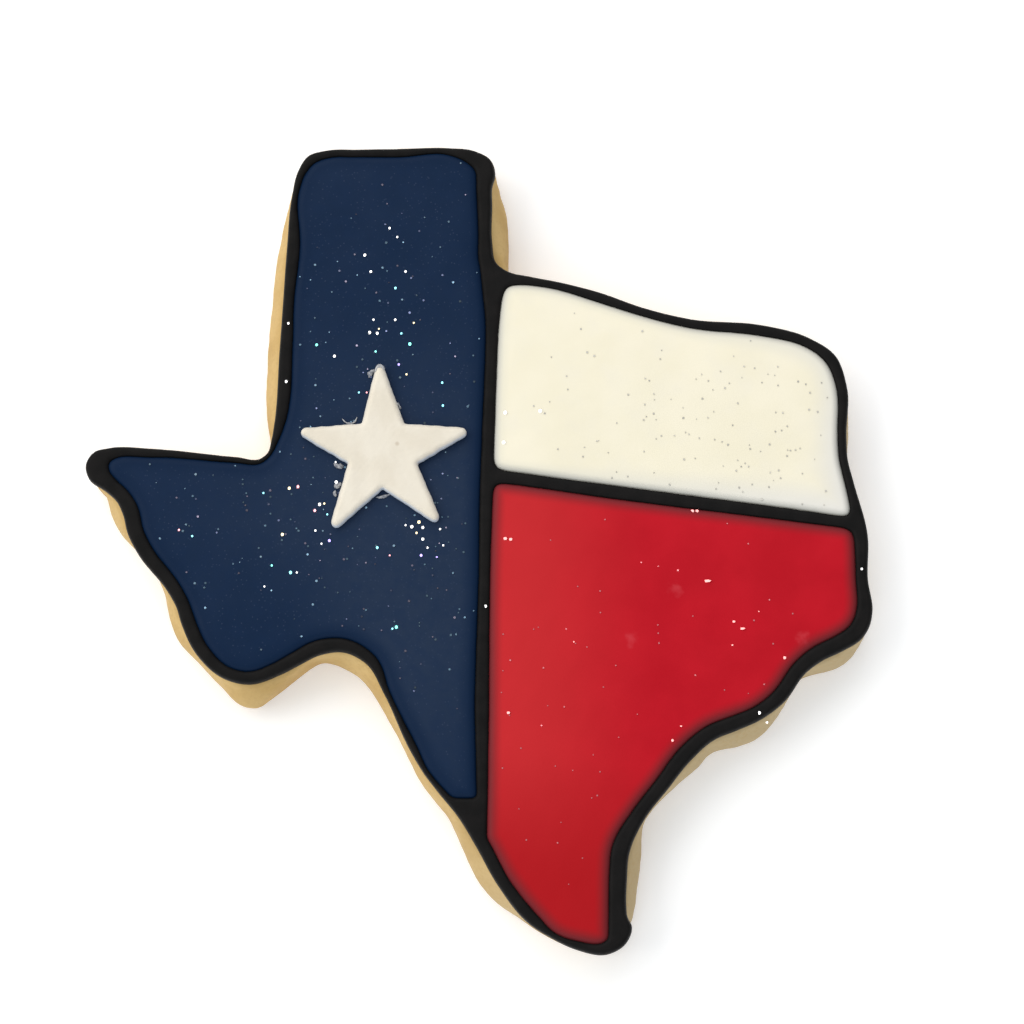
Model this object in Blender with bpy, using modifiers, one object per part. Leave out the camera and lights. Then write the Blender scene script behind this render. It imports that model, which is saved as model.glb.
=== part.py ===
"""An iced sugar cookie cut to the outline of Texas and flooded with its flag.

A piped black line stands on the cookie as a dam: a rim all round, an upright and a crossbar.
Blue, white and red icing is flooded into the three pools between the lines, and a cut star lies on the blue.
The origin is under the middle of the cookie, on the surface that it lies on, with north along +Y.
Sizes are in millimetres, and only mesh_object turns them into Blender's metres.
"""

import math

import bpy
import numpy as np

MM = 0.001

# Heights
COOKIE_HEIGHT = 7.5
LINE_HEIGHT = 1.15
FLOOD_HEIGHT = 1.6
STAR_HEIGHT = 1.4
GAP = 0.3

# The middle of the finished cookie's box, in the coordinates of the lines below
MIDDLE = (-0.1, 0.24)

# Cross-sections. Each pair is a share of the sideways reach and a share of the height.
COOKIE_SIDE = ((0.0, 0.0), (0.62, 0.03), (0.9, 0.14), (1.0, 0.32), (0.9, 0.58), (0.6, 0.82), (0.22, 0.96), (0.0, 1.0))
COOKIE_FOOT = 0.8
ROUNDED = ((0.0, 0.0), (0.0, 0.35), (0.1, 0.64), (0.4, 0.9), (1.0, 1.0))
LINE_RIM = 0.45
LINE_SHOULDER = 0.2
FLOOD_RIM = 1.3
FLOOD_RIM_RISE = 0.86
FLOOD_CROWN = ((0.72, 0.95), (0.4, 0.99), (0.1, 1.0))

# Fineness
STRETCH_STEPS = 6
COOKIE_POINTS = 180
LINE_POINTS = 200
MARCHES = 50
SURVEY = 480
FAR_OUT = 90.0
HAIR = 0.01

# The icing's outer edge, clockwise: x and y, the width of the black line there,
# and how far the cookie spreads past it.
PANHANDLE = (
    (-25.0, 39.0, 1.8, 1.6),
    (-24.4, 46.1, 0.9, 0.6),
    (-23.7, 49.2, 1.2, 0.2),
    (-22.4, 51.2, 1.4, 0.2),
    (-19.8, 52.0, 1.2, 0.3),
    (-16.0, 52.1, 1.2, 0.4),
    (-10.4, 52.2, 1.3, 0.4),
    (-3.9, 52.3, 1.1, 0.4),
    (-0.6, 51.9, 2.0, 0.3),
    (1.6, 50.6, 2.6, 0.2),
    (2.1, 48.6, 2.3, 0.4),
    (1.7, 47.0, 2.1, 0.8),
    (1.7, 44.5, 2.0, 1.6),
    (1.7, 39.7, 1.8, 2.2),
    (2.3, 36.8, 2.2, 1.6),
)
RED_RIVER = (
    (3.4, 35.9, 1.9, 0.6),
    (6.8, 35.0, 1.3, 0.6),
    (9.9, 34.4, 1.2, 0.5),
    (15.7, 32.9, 1.5, 0.5),
    (20.9, 31.0, 1.3, 0.5),
    (27.3, 29.4, 1.4, 0.5),
    (37.0, 28.5, 1.6, 0.5),
)
EAST_SIDE = (
    (42.6, 26.9, 1.4, 0.4),
    (46.0, 24.6, 1.6, 0.2),
    (47.5, 20.4, 1.5, 0.2),
    (47.3, 13.9, 1.3, 0.4),
    (47.4, 11.0, 1.3, 0.1),
    (48.1, 8.0, 1.3, 0.1),
    (49.8, 0.9, 1.9, 0.3),
    (49.7, -4.7, 1.7, 0.3),
    (50.2, -8.8, 2.1, 0.4),
    (49.8, -10.7, 2.2, 0.3),
    (48.8, -12.3, 2.2, 0.2),
)
GULF_COAST = (
    (46.3, -13.9, 2.1, 1.4),
    (43.6, -15.2, 2.1, 1.1),
    (41.6, -16.7, 2.0, 0.2),
    (38.9, -20.3, 1.9, 0.6),
    (35.7, -22.7, 1.8, 1.5),
    (32.8, -24.0, 1.9, 1.7),
    (29.9, -25.2, 2.0, 1.2),
    (26.8, -27.9, 2.1, 1.1),
    (23.9, -31.5, 1.9, 0.5),
    (21.0, -35.2, 1.9, 0.2),
    (19.0, -39.6, 2.4, 1.8),
    (18.7, -42.8, 2.3, 1.6),
    (18.6, -46.1, 2.2, 1.4),
    (18.7, -47.3, 2.3, 0.8),
)
SOUTH_TIP = (
    (19.3, -48.7, 2.6, 0.2),
    (18.5, -50.8, 2.2, 0.0),
    (16.3, -52.1, 1.6, 0.0),
    (12.2, -51.5, 1.1, 0.0),
)
RIO_GRANDE = (
    (9.2, -50.1, 0.8, 0.0),
    (6.5, -48.4, 1.5, 0.0),
    (2.4, -43.4, 1.6, 1.6),
    (-0.3, -38.6, 1.7, 1.8),
    (-2.5, -35.0, 1.2, 1.0),
    (-5.1, -31.8, 0.8, 0.9),
    (-7.0, -29.3, 0.7, 0.9),
    (-8.6, -26.6, 1.0, 0.6),
    (-12.0, -19.3, 0.8, 1.2),
    (-14.2, -15.6, 1.5, 1.6),
    (-17.1, -14.1, 1.7, 1.4),
    (-20.3, -14.5, 1.9, 0.3),
    (-22.7, -15.7, 1.8, 0.2),
    (-25.0, -16.9, 1.7, 1.2),
    (-29.1, -18.2, 1.6, 2.5),
    (-32.4, -17.4, 1.6, 0.9),
    (-35.8, -14.4, 1.8, 0.5),
    (-37.9, -10.2, 1.9, 1.7),
    (-38.5, -8.3, 1.8, 1.5),
    (-39.5, -6.5, 1.8, 0.7),
    (-43.6, -1.3, 2.0, 0.0),
    (-44.9, 1.2, 2.1, 0.8),
    (-45.6, 3.8, 2.2, 1.7),
    (-46.4, 5.4, 2.0, 1.4),
    (-47.7, 6.6, 2.0, 0.1),
)
WEST_ARM = (
    (-50.0, 8.3, 2.8, 0.1),
    (-50.5, 10.0, 3.0, 0.2),
    (-49.5, 11.8, 2.5, 0.2),
    (-47.4, 12.4, 1.7, 0.2),
    (-41.9, 12.3, 1.3, 0.2),
    (-30.9, 11.2, 0.9, 0.2),
    (-28.1, 11.0, 0.8, 0.1),
    (-27.2, 11.7, 0.7, 0.1),
    (-26.7, 13.4, 1.0, 0.2),
    (-26.4, 15.2, 1.4, 0.7),
    (-25.8, 25.1, 1.8, 2.0),
    (-25.4, 32.0, 1.5, 1.9),
)

# The lines inside the rim: x and y along each, and half its width. The upright parts blue from white and red,
# the crossbar parts white from red, and the foot fills the narrow corner under the blue.
UPRIGHT = (
    (1.9, 36.6, 1.9),
    (1.75, 32.4, 1.3),
    (1.65, 26.0, 0.85),
    (1.0, 7.4, 0.87),
    (0.7, -6.3, 0.77),
    (0.45, -20.0, 0.93),
    (0.5, -31.7, 0.75),
    (0.5, -38.4, 0.6),
)
CROSSBAR = (
    (1.1, 8.75, 0.9),
    (5.4, 8.2, 0.85),
    (18.1, 6.4, 0.9),
    (37.0, 3.95, 0.85),
    (48.6, 2.35, 0.75),
)
FOOT = (
    (-5.0, -33.9, 1.3),
    (-0.6, -33.9, 1.3),
)

# Each pool: where the icing is poured, how many points its edge has, and how softly it turns corners.
BLUE_POOL = ((-10.0, -2.4), 120, 0.5)
WHITE_POOL = ((24.0, 17.0), 84, 0.9)
RED_POOL = ((15.6, -12.6), 100, 0.6)

# The star: its place, its reach to where two edges would meet at a point, the waist between two points as a
# share of it, and how each point leans in degrees and how far it reaches, anticlockwise from the top one.
STAR_PLACE = (-12.2, 11.4)
STAR_REACH = 12.6
STAR_WAIST = 0.37
STAR_POINTS = ((2.5, 1.03), (3.4, 0.98), (3.2, 1.04), (2.7, 1.02), (-3.5, 1.0))
STAR_TIP_ROUNDING = 0.6
STAR_WAIST_ROUNDING = 0.35
STAR_EDGE = 0.28

COOKIE_COLOUR = (0.72, 0.50, 0.26, 1.0)
BLACK_COLOUR = (0.012, 0.011, 0.009, 1.0)
BLUE_COLOUR = (0.012, 0.032, 0.105, 1.0)
WHITE_COLOUR = (0.90, 0.85, 0.72, 1.0)
RED_COLOUR = (0.55, 0.012, 0.022, 1.0)
STAR_COLOUR = (0.86, 0.83, 0.76, 1.0)


def hermite(here, after, slope_here, slope_after):
    """Cubic curves from each row of here to the same row of after, as STRETCH_STEPS points each."""
    t = (np.arange(STRETCH_STEPS) / STRETCH_STEPS)[None, :, None]
    here, after, slope_here, slope_after = (v[:, None] for v in (here, after, slope_here, slope_after))
    curve = (2 * t**3 - 3 * t**2 + 1) * here + (3 * t**2 - 2 * t**3) * after
    curve = curve + (t**3 - 2 * t**2 + t) * slope_here + (t**3 - t**2) * slope_after
    return curve.reshape(-1, curve.shape[-1])


def smooth_loop(rows):
    """A closed curve through the rows. Each row's slope leans to its shorter neighbouring chord."""
    rows = np.array(rows)
    after = np.roll(rows, -1, axis=0)
    chord = np.linalg.norm((after - rows)[:, :2], axis=1)[:, None]
    rate = (after - rows) / chord
    chord_before = np.roll(chord, 1, axis=0)
    slope = (chord_before * rate + chord * np.roll(rate, 1, axis=0)) / (chord + chord_before)
    return hermite(rows, after, slope * chord, np.roll(slope, -1, axis=0) * chord)


def smooth_line(rows):
    """An open curve through the rows, straight at its two ends."""
    rows = np.array(rows)
    slope = np.gradient(rows, axis=0)
    curve = hermite(rows[:-1], rows[1:], slope[:-1], slope[1:])
    return np.vstack([curve, rows[-1:]])


def strokes(line, closed=False):
    """The straight strokes along a line of x, y and half width: each is one row and the row after it."""
    if closed:
        line = np.vstack([line, line[:1]])
    return np.stack([line[:-1], line[1:]], axis=1)


def clearance(points, dams):
    """How far each point is from the nearest stroke, whose half width runs evenly from one end to the other."""
    start, along = dams[:, 0], dams[:, 1] - dams[:, 0]
    offset = points[:, None] - start[:, :2]
    share = (offset * along[:, :2]).sum(axis=2) / (along[:, :2] ** 2).sum(axis=1)
    share = np.clip(share, 0, 1)
    away = offset - share[:, :, None] * along[:, :2]
    return (np.hypot(away[:, :, 0], away[:, :, 1]) - start[:, 2] - share * along[:, 2]).min(axis=1)


def headings(bearings):
    return np.stack([np.cos(bearings), np.sin(bearings)], axis=1)


def flood_reach(pour, bearings, dams, stand_off):
    """Where icing poured at a point stops, stand_off short of the dams, along each bearing."""
    heading = headings(bearings)
    run = np.zeros(len(bearings))
    for _ in range(MARCHES):
        run += clearance(pour + heading * run[:, None], dams) - stand_off
    return pour + heading * run[:, None]


def outer_reach(centre, bearings, dams):
    """The outermost edge of the strokes as seen from a centre, found by walking in from far out."""
    heading = headings(bearings)
    run = np.full(len(bearings), FAR_OUT)
    for _ in range(MARCHES):
        run -= clearance(centre + heading * run[:, None], dams)
    return centre + heading * run[:, None]


def even_bearings(edge_at, count):
    """Bearings that space the points of an edge evenly along it. edge_at gives the edge for bearings."""
    survey = np.linspace(0, 2 * math.pi, SURVEY + 1)
    edge = edge_at(survey)
    walked = np.concatenate([[0], np.cumsum(np.linalg.norm(np.diff(edge, axis=0), axis=1))])
    return np.interp(np.arange(count) / count * walked[-1], walked, survey)


def softened(edge, reach):
    """A closed edge with its corners eased: each point becomes the mean of its neighbours within reach."""
    spacing = np.linalg.norm(np.roll(edge, -1, axis=0) - edge, axis=1).mean()
    passes = max(1, round((reach / spacing) ** 2 * 2))
    for _ in range(passes):
        edge = (np.roll(edge, 1, axis=0) + 2 * edge + np.roll(edge, -1, axis=0)) / 4
    return edge


def material(name, colour, roughness):
    made = bpy.data.materials.new(name)
    made.use_nodes = True
    shader = made.node_tree.nodes["Principled BSDF"]
    shader.inputs["Base Color"].default_value = colour
    shader.inputs["Roughness"].default_value = roughness
    made.diffuse_color = colour
    return made


def mesh_object(name, points, faces, home, finish=None):
    """A mesh object of points in millimetres, set about MIDDLE and shaded smooth but for its sharp edges."""
    mesh = bpy.data.meshes.new(name)
    mesh.from_pydata(((np.asarray(points) - (*MIDDLE, 0)) * MM).tolist(), [], faces)
    mesh.validate()
    mesh.shade_smooth()
    mesh.set_sharp_from_angle(angle=math.radians(40))
    made = bpy.data.objects.new(name, mesh)
    home.objects.link(made)
    if finish:
        mesh.materials.append(finish)
    return made


def loft(name, rings, home, finish=None):
    """A closed solid through rings of equal length, from the lowest to the topmost, with a flat cap at each end."""
    count = len(rings[0])
    start = np.arange(len(rings) - 1)[:, None] * count
    here = np.arange(count)
    after = (here + 1) % count
    sides = np.stack([start + here, start + after, start + after + count, start + here + count], axis=2)
    faces = sides.reshape(-1, 4).tolist()
    last = (len(rings) - 1) * count
    caps = [list(range(count - 1, -1, -1)), list(range(last, last + count))]
    return mesh_object(name, np.concatenate(rings), faces + caps, home, finish)


def ring(edge, height):
    return np.column_stack([edge, np.full(len(edge), height)])


def cookie(outline, centre, home):
    """The baked cookie: a flat foot, a side that bellies out as far as it spread, and a rounded top edge."""
    spread = strokes(outline[:, [0, 1, 3]], closed=True)
    bearings = even_bearings(lambda b: outer_reach(centre, b, spread), COOKIE_POINTS)

    def side(reach):
        return softened(outer_reach(centre, bearings, spread * (1, 1, reach)), COOKIE_FOOT)

    rings = [ring(side(reach), height * COOKIE_HEIGHT) for reach, height in COOKIE_SIDE]
    return loft("cookie", rings, home, material("baked_dough", COOKIE_COLOUR, 0.8))


def pool_bearings(pool, dams):
    """The bearings from a pool's pouring point that space its edge evenly."""
    pour, count, _ = pool
    return even_bearings(lambda b: flood_reach(np.array(pour), b, dams, GAP / 2), count)


def flood(name, pool, bearings, dams, bottom, home, finish):
    """Icing flooded into a pool: an upright foot, a rounded rim, and a crown that swells to the middle."""
    pour, _, softness = pool
    pour = np.array(pour)
    rings = []
    for share, rise in ROUNDED:
        edge = flood_reach(pour, bearings, dams, GAP / 2 + share * FLOOD_RIM)
        rings.append(ring(softened(edge, softness), bottom + rise * FLOOD_RIM_RISE * FLOOD_HEIGHT))
    rim = rings[-1][:, :2]
    for share, rise in FLOOD_CROWN:
        rings.append(ring(pour + (rim - pour) * share, bottom + rise * FLOOD_HEIGHT))
    return loft(name, rings, home, finish)


def pool_cutter(name, pool, bearings, dams, bottom, home):
    """What a pool takes out of the black line: wider at the top, so that the line keeps a rounded shoulder."""
    pour, _, softness = pool
    rings = []
    levels = [(0.0, -1.0), *ROUNDED, (1.0, 2.0)]
    for share, rise in levels:
        edge = flood_reach(np.array(pour), bearings, dams, -GAP / 2 - share * LINE_SHOULDER)
        rings.append(ring(softened(edge, softness), bottom + rise * LINE_HEIGHT))
    made = loft(name, rings, home)
    made.hide_render = True
    made.display_type = "WIRE"
    return made


def black_line(outline, centre, cutters, bottom, home):
    """The piped line in one piece: a slab with a rounded outer rim, with the three pools taken out of it."""
    edge_line = strokes(outline[:, :3] * (1, 1, 0), closed=True)
    bearings = even_bearings(lambda b: outer_reach(centre, b, edge_line), LINE_POINTS)
    rings = []
    for share, rise in ROUNDED:
        edge = flood_reach(centre, bearings, edge_line, max(share * LINE_RIM, HAIR))
        rings.append(ring(edge, bottom + rise * LINE_HEIGHT))
    made = loft("black_line", rings, home, material("black_icing", BLACK_COLOUR, 0.5))
    for cutter in cutters:
        cut = made.modifiers.new(cutter.name, "BOOLEAN")
        cut.operation = "DIFFERENCE"
        cut.solver = "EXACT"
        cut.object = cutter
    return made


def star_outline():
    """The star's corners, each rounded: a tip, then the waist after it, going anticlockwise."""
    corners = []
    for i, (lean, reach) in enumerate(STAR_POINTS):
        tip = math.radians(90 + 72 * i + lean)
        waist = math.radians(90 + 72 * i + 36)
        corners.append((tip, STAR_REACH * reach))
        corners.append((waist, STAR_REACH * STAR_WAIST))
    corners = [np.array((math.cos(a), math.sin(a))) * r for a, r in corners]
    points = []
    for i, corner in enumerate(corners):
        before, after = corners[i - 1], corners[(i + 1) % len(corners)]
        radius, steps = (STAR_WAIST_ROUNDING, 2) if i % 2 else (STAR_TIP_ROUNDING, 6)
        points += fillet(before, corner, after, radius, steps)
    return np.array(points) + STAR_PLACE


def fillet(before, corner, after, radius, steps):
    """The arc that rounds one corner, as steps + 1 points."""
    back = (before - corner) / np.linalg.norm(before - corner)
    on = (after - corner) / np.linalg.norm(after - corner)
    half = math.acos(float(np.clip(back @ on, -1, 1))) / 2
    middle = (back + on) / np.linalg.norm(back + on)
    centre = corner + middle * radius / math.sin(half)
    start = corner + back * radius / math.tan(half) - centre
    end = corner + on * radius / math.tan(half) - centre
    turn = math.atan2(start[0] * end[1] - start[1] * end[0], start @ end)
    arc = []
    for i in range(steps + 1):
        a = turn * i / steps
        spun = (start[0] * math.cos(a) - start[1] * math.sin(a), start[0] * math.sin(a) + start[1] * math.cos(a))
        arc.append(centre + spun)
    return arc


def star(bottom, home):
    """The white star, cut from rolled icing: one flat face given its thickness and softened edges."""
    outline = ring(star_outline(), bottom + STAR_HEIGHT)
    made = mesh_object("star", outline, [list(range(len(outline)))], home, material("star_icing", STAR_COLOUR, 0.6))
    thick = made.modifiers.new("thickness", "SOLIDIFY")
    thick.thickness = STAR_HEIGHT * MM
    thick.offset = -1
    soft = made.modifiers.new("soft edges", "BEVEL")
    soft.width = STAR_EDGE * MM
    soft.segments = 2
    soft.limit_method = "ANGLE"
    soft.angle_limit = math.radians(60)
    return made


def collection(name):
    made = bpy.data.collections.new(name)
    bpy.context.scene.collection.children.link(made)
    return made


def main():
    for old in list(bpy.data.objects):
        bpy.data.objects.remove(old)
    home = collection("iced_cookie")
    tools = collection("cutters")

    outline = smooth_loop(
        PANHANDLE + RED_RIVER + EAST_SIDE + GULF_COAST + SOUTH_TIP + RIO_GRANDE + WEST_ARM
    )
    rim = strokes(outline[:, :3], closed=True)
    inside = [strokes(smooth_line(line)) for line in (UPRIGHT, CROSSBAR, FOOT)]
    dams = np.vstack([rim, *inside])
    centre = np.array(BLUE_POOL[0])

    icing_bottom = COOKIE_HEIGHT + GAP
    cookie(outline, centre, home)
    pools = (
        ("blue_icing", BLUE_POOL, material("blue_icing", BLUE_COLOUR, 0.45)),
        ("white_icing", WHITE_POOL, material("white_icing", WHITE_COLOUR, 0.4)),
        ("red_icing", RED_POOL, material("red_icing", RED_COLOUR, 0.4)),
    )
    cutters = []
    for name, pool, finish in pools:
        bearings = pool_bearings(pool, dams)
        flood(name, pool, bearings, dams, icing_bottom, home, finish)
        cutters.append(pool_cutter(name + "_pool", pool, bearings, dams, icing_bottom, tools))
    black_line(outline, centre, cutters, icing_bottom, home)
    star(icing_bottom + FLOOD_HEIGHT + GAP, home)


main()
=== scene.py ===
import math

import bpy
import numpy as np
from mathutils import Matrix, Vector
from mathutils.geometry import delaunay_2d_cdt


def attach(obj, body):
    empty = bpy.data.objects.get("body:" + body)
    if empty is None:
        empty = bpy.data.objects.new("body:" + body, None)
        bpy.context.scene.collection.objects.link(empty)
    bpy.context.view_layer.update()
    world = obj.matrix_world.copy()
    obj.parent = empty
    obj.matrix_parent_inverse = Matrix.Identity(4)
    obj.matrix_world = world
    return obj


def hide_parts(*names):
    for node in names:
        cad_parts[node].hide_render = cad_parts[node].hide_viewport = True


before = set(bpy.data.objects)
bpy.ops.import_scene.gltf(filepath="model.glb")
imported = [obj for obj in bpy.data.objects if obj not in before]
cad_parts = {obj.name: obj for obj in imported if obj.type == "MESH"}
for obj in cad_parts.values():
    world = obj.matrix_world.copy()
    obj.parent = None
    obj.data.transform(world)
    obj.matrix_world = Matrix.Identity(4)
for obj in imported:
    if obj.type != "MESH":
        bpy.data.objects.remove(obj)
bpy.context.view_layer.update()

# The cookie.
# Sugar dough rolled flat, cut with a cutter and baked. Its sides belly out past the icing, more in some
# places than in others, and its foot and underside are browned by the tray.

MM = 0.001
MIDDLE = (-0.1, 0.24)

# The icing's outer edge, clockwise, in millimetres: x and y, the width of the black line there,
# and how far the cookie spreads past it, or, below zero, how far its side is cut in under it.
PANHANDLE = (
    (-25.0, 39.0, 1.8, 1.6),
    (-24.4, 46.1, 0.9, 0.6),
    (-23.7, 49.2, 1.2, 0.2),
    (-22.4, 51.2, 1.4, 0.2),
    (-19.8, 52.0, 1.2, 0.3),
    (-16.0, 52.1, 1.2, 0.4),
    (-10.4, 52.2, 1.3, 0.4),
    (-3.9, 52.3, 1.1, 0.4),
    (-0.6, 51.9, 2.0, 0.3),
    (1.6, 50.6, 2.6, 0.2),
    (2.1, 48.6, 2.3, 0.4),
    (1.7, 47.0, 2.1, 1.2),
    (1.7, 44.5, 2.0, 2.0),
    (1.7, 39.7, 1.8, 2.2),
    (2.3, 36.8, 2.2, 1.4),
)
RED_RIVER = (
    (3.4, 35.9, 1.9, -0.2),
    (6.8, 35.0, 1.3, 0.6),
    (9.9, 34.4, 1.2, 0.5),
    (15.7, 32.9, 1.5, 0.5),
    (20.9, 31.0, 1.3, 0.5),
    (27.3, 29.4, 1.4, 0.5),
    (37.0, 28.5, 1.6, 0.5),
)
EAST_SIDE = (
    (42.6, 26.9, 1.4, 0.4),
    (46.0, 24.6, 1.6, 0.2),
    (47.5, 20.4, 1.5, 0.2),
    (47.3, 13.9, 1.3, 0.8),
    (47.4, 11.0, 1.3, 0.5),
    (48.1, 8.0, 1.3, 0.1),
    (49.8, 0.9, 1.9, 0.3),
    (49.7, -4.7, 1.7, 0.3),
    (50.2, -8.8, 2.1, 0.4),
    (49.8, -10.7, 2.2, 0.3),
    (48.8, -12.3, 2.2, 0.35),
)
GULF_COAST = (
    (46.3, -13.9, 2.1, 1.4),
    (43.6, -15.2, 2.1, 1.0),
    (41.6, -16.7, 2.0, -0.2),
    (38.9, -20.3, 1.9, 0.4),
    (35.7, -22.7, 1.8, 1.5),
    (32.8, -24.0, 1.9, 1.7),
    (29.9, -25.2, 2.0, 1.0),
    (26.8, -27.9, 2.1, 1.2),
    (23.9, -31.5, 1.9, 0.35),
    (21.0, -35.2, 1.9, 0.2),
    (19.0, -39.6, 2.4, 1.8),
    (18.7, -42.8, 2.3, 1.6),
    (18.6, -46.1, 2.2, 1.4),
    (18.7, -47.3, 2.3, 1.0),
)
SOUTH_TIP = (
    (19.3, -48.7, 2.6, -0.2),
    (18.5, -50.8, 2.2, -0.3),
    (16.3, -52.1, 1.6, -0.4),
    (12.2, -51.5, 1.1, -0.4),
)
RIO_GRANDE = (
    (9.2, -50.1, 0.8, -0.2),
    (6.5, -48.4, 1.5, -0.15),
    (2.4, -43.4, 1.6, 1.6),
    (-0.3, -38.6, 1.7, 1.8),
    (-2.5, -35.0, 1.2, 1.0),
    (-5.1, -31.8, 0.8, 0.9),
    (-7.0, -29.3, 0.7, 0.9),
    (-8.6, -26.6, 1.0, 0.6),
    (-12.0, -19.3, 0.8, 1.2),
    (-14.2, -15.6, 1.5, 1.6),
    (-17.1, -14.1, 1.7, 1.4),
    (-20.3, -14.5, 1.9, 0.2),
    (-22.7, -15.7, 1.8, -0.4),
    (-25.0, -16.9, 1.7, 1.1),
    (-29.1, -18.2, 1.6, 2.5),
    (-32.4, -17.4, 1.6, 0.9),
    (-35.8, -14.4, 1.8, 0.5),
    (-37.9, -10.2, 1.9, 1.7),
    (-38.5, -8.3, 1.8, 1.65),
    (-39.5, -6.5, 1.8, 0.9),
    (-43.6, -1.3, 2.0, -0.3),
    (-44.9, 1.2, 2.1, 0.7),
    (-45.6, 3.8, 2.2, 1.7),
    (-46.4, 5.4, 2.0, 1.6),
    (-47.7, 6.6, 2.0, 0.6),
)
WEST_ARM = (
    (-50.0, 8.3, 2.8, -0.4),
    (-50.5, 10.0, 3.0, 0.2),
    (-49.5, 11.8, 2.5, 0.2),
    (-47.4, 12.4, 1.7, 0.2),
    (-41.9, 12.3, 1.3, 0.2),
    (-30.9, 11.2, 0.9, 0.2),
    (-28.1, 11.0, 0.8, 0.1),
    (-27.2, 11.7, 0.7, 0.1),
    (-26.7, 13.4, 1.0, 0.4),
    (-26.4, 15.2, 1.4, 1.1),
    (-25.8, 25.1, 1.8, 2.0),
    (-25.4, 32.0, 1.5, 1.9),
)

COOKIE_HEIGHT = 7.5
COOKIE_CENTRE = (-10.0, -2.4)
COOKIE_AROUND = 960
SIDE_LEVELS = 30
# Heights on the side, as shares of the cookie's height: its widest, the top of the foot, the edge's start.
BELLY = 0.3
FOOT_TOP = 0.07
EDGE_START = 0.9
# How far the foot and the top edge are drawn in, and the share of its spread that the side loses at the foot.
FOOT_TUCK = 0.45
TOP_ROUNDING = 0.55
FOOT_LOSS = 0.55
# How deep the crumb's relief lies in the side.
CRUMB_INSET = 0.13
# Points walk in to the strokes from this far out, in this many steps.
FAR_OUT = 90.0
WALK_STEPS = 40


def curve_steps(here, after, slope_here, slope_after, steps):
    """Cubic curves from each row to the next, each along the slope of its row at either end."""
    t = (np.arange(steps) / steps)[None, :, None]
    here, after, slope_here, slope_after = (v[:, None] for v in (here, after, slope_here, slope_after))
    curve = (2 * t**3 - 3 * t**2 + 1) * here + (3 * t**2 - 2 * t**3) * after
    curve = curve + (t**3 - 2 * t**2 + t) * slope_here + (t**3 - t**2) * slope_after
    return curve.reshape(-1, curve.shape[-1])


def loop_through(rows, steps):
    """A closed smooth curve through the rows. Each row's slope leans to the chord on its shorter side."""
    rows = np.array(rows)
    after = np.roll(rows, -1, axis=0)
    chord = np.linalg.norm((after - rows)[:, :2], axis=1)[:, None]
    rate = (after - rows) / chord
    chord_before = np.roll(chord, 1, axis=0)
    slope = (chord_before * rate + chord * np.roll(rate, 1, axis=0)) / (chord + chord_before)
    return curve_steps(rows, after, slope * chord, np.roll(slope, -1, axis=0) * chord, steps)


def strokes(line, closed=False):
    """The straight strokes along a line of x, y and half width: each is one row and the row after it."""
    if closed:
        line = np.vstack([line, line[:1]])
    return np.stack([line[:-1], line[1:]], axis=1)


def clearance(points, lines):
    """How far each point is from the nearest stroke, whose half width runs evenly from end to end."""
    nearest = np.full(len(points), np.inf)
    for (x, y, width), (x_end, y_end, width_end) in lines:
        along_x, along_y = x_end - x, y_end - y
        from_x, from_y = points[:, 0] - x, points[:, 1] - y
        square = along_x**2 + along_y**2
        share = np.clip((from_x * along_x + from_y * along_y) / square, 0, 1)
        away = np.hypot(from_x - share * along_x, from_y - share * along_y)
        np.minimum(nearest, away - width - share * (width_end - width), out=nearest)
    return nearest


def headings(bearings):
    """The unit vector along each bearing."""
    return np.stack([np.cos(bearings), np.sin(bearings)], axis=1)


def reach_inward(centre, bearings, lines):
    """The strokes' outermost edge along each bearing: a point far out walks in by its clearance each step."""
    heading = headings(bearings)
    run = np.full(len(bearings), FAR_OUT)
    for _ in range(WALK_STEPS):
        run = run - clearance(centre + heading * run[:, None], lines)
    return centre + heading * run[:, None]


def evenly(edge, count):
    """A closed edge spaced evenly: count points at equal lengths along it."""
    closed = np.vstack([edge, edge[:1]])
    walked = np.concatenate([[0], np.cumsum(np.linalg.norm(np.diff(closed, axis=0), axis=1))])
    stops = np.arange(count) / count * walked[-1]
    return np.stack([np.interp(stops, walked, closed[:, i]) for i in (0, 1)], axis=1)


def eased(edge, reach):
    """A closed edge with its corners eased: a Gaussian average of each point's neighbours within reach."""
    spacing = np.linalg.norm(np.roll(edge, -1, axis=0) - edge, axis=1).mean()
    waves = np.fft.fftfreq(len(edge)) * reach / spacing
    spectrum = np.fft.fft(edge[:, 0] + 1j * edge[:, 1]) * np.exp(-2 * (np.pi * waves) ** 2)
    flat = np.fft.ifft(spectrum)
    return np.stack([flat.real, flat.imag], axis=1)


def at_height(edge, height):
    """The edge as points in space: the height is one number, or one for each point."""
    return np.column_stack([edge, np.broadcast_to(height, len(edge))])


def unevenness(points, length, height, seed):
    """Relief at each point: nine plane waves of about one length in random directions, added up."""
    draw = np.random.default_rng(seed)
    ways = draw.normal(size=(9, points.shape[-1]))
    ways /= np.linalg.norm(ways, axis=1, keepdims=True)
    pace = 2 * np.pi / (length * draw.uniform(0.7, 1.5, 9))
    waves = np.sin(points @ (ways * pace[:, None]).T + draw.uniform(0, 2 * np.pi, 9))
    return height * waves.mean(axis=-1) * 2


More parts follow.
